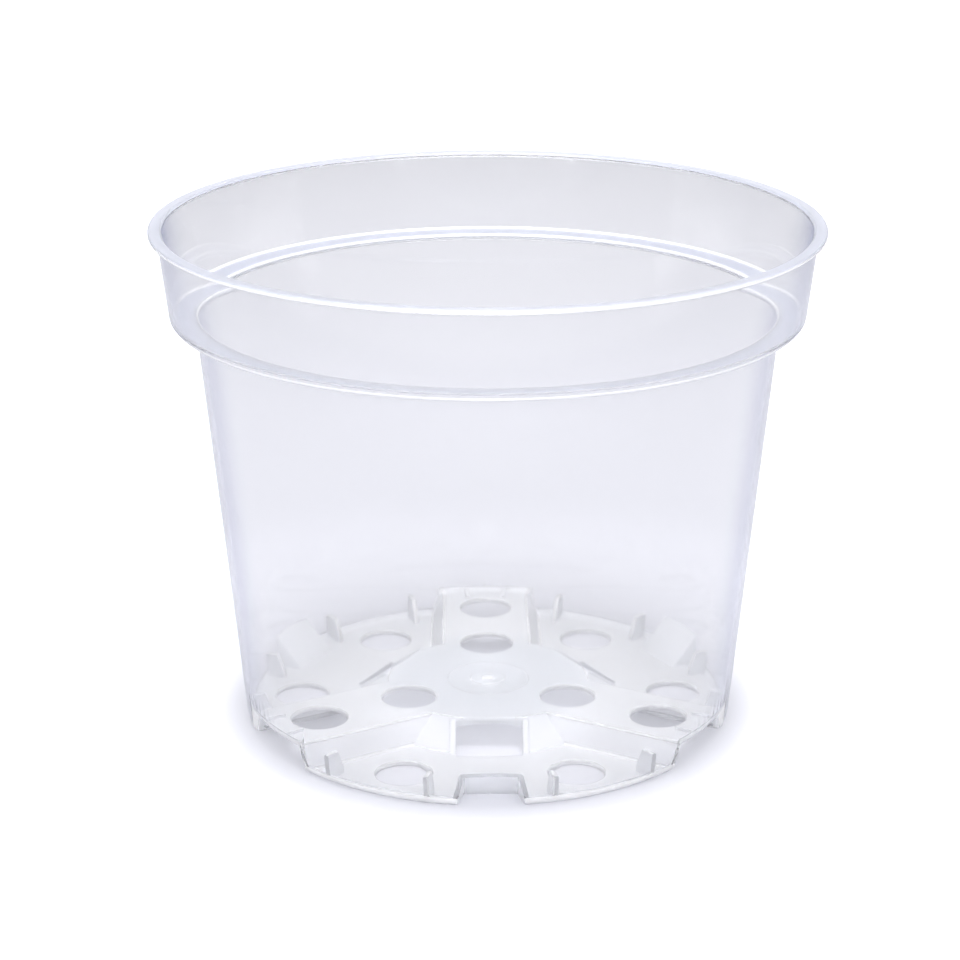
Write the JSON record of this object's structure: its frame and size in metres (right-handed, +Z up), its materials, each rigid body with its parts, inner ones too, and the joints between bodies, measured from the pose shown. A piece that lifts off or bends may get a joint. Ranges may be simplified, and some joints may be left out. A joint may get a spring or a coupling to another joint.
{
  "type": "orchid pot",
  "caption": "Clear tapered round orchid pot with a stepped collar, thin lip and a raised slotted base with drain holes, air windows and notched feet.",
  "frame": {"origin": "on the pot's axis, on the ground under the feet", "axes": "+Z up along the pot's axis; -Y towards the front foot, whose notch faces the viewer"},
  "size_m": [0.12, 0.12, 0.0934],
  "materials": {
    "clear_plastic": "clear, slightly milky and bluish, glossy"
  },
  "bodies": {
    "root": {"rim_lip": "clear_plastic", "collar_wall": "clear_plastic", "collar_ledge": "clear_plastic", "side_wall": "clear_plastic", "deck_disc": "clear_plastic", "gate_mark": "clear_plastic", "deck_arm_rear": "clear_plastic", "deck_arm_front_left": "clear_plastic", "deck_arm_front_right": "clear_plastic", "arm_ribs_rear": "clear_plastic", "arm_ribs_front_left": "clear_plastic", "arm_ribs_front_right": "clear_plastic", "foot_front_floor": "clear_plastic", "foot_front_inner_wall": "clear_plastic", "foot_front_side_walls": "clear_plastic", "foot_front_outer_wall": "clear_plastic", "foot_front_notch_ramp": "clear_plastic", "foot_front_stacking_fins": "clear_plastic", "foot_rear_left_floor": "clear_plastic", "foot_rear_left_inner_wall": "clear_plastic", "foot_rear_left_side_walls": "clear_plastic", "foot_rear_left_outer_wall": "clear_plastic", "foot_rear_left_notch_ramp": "clear_plastic", "foot_rear_left_stacking_fins": "clear_plastic", "foot_rear_right_floor": "clear_plastic", "foot_rear_right_inner_wall": "clear_plastic", "foot_rear_right_side_walls": "clear_plastic", "foot_rear_right_outer_wall": "clear_plastic", "foot_rear_right_notch_ramp": "clear_plastic", "foot_rear_right_stacking_fins": "clear_plastic"}
  },
  "joints": []
}
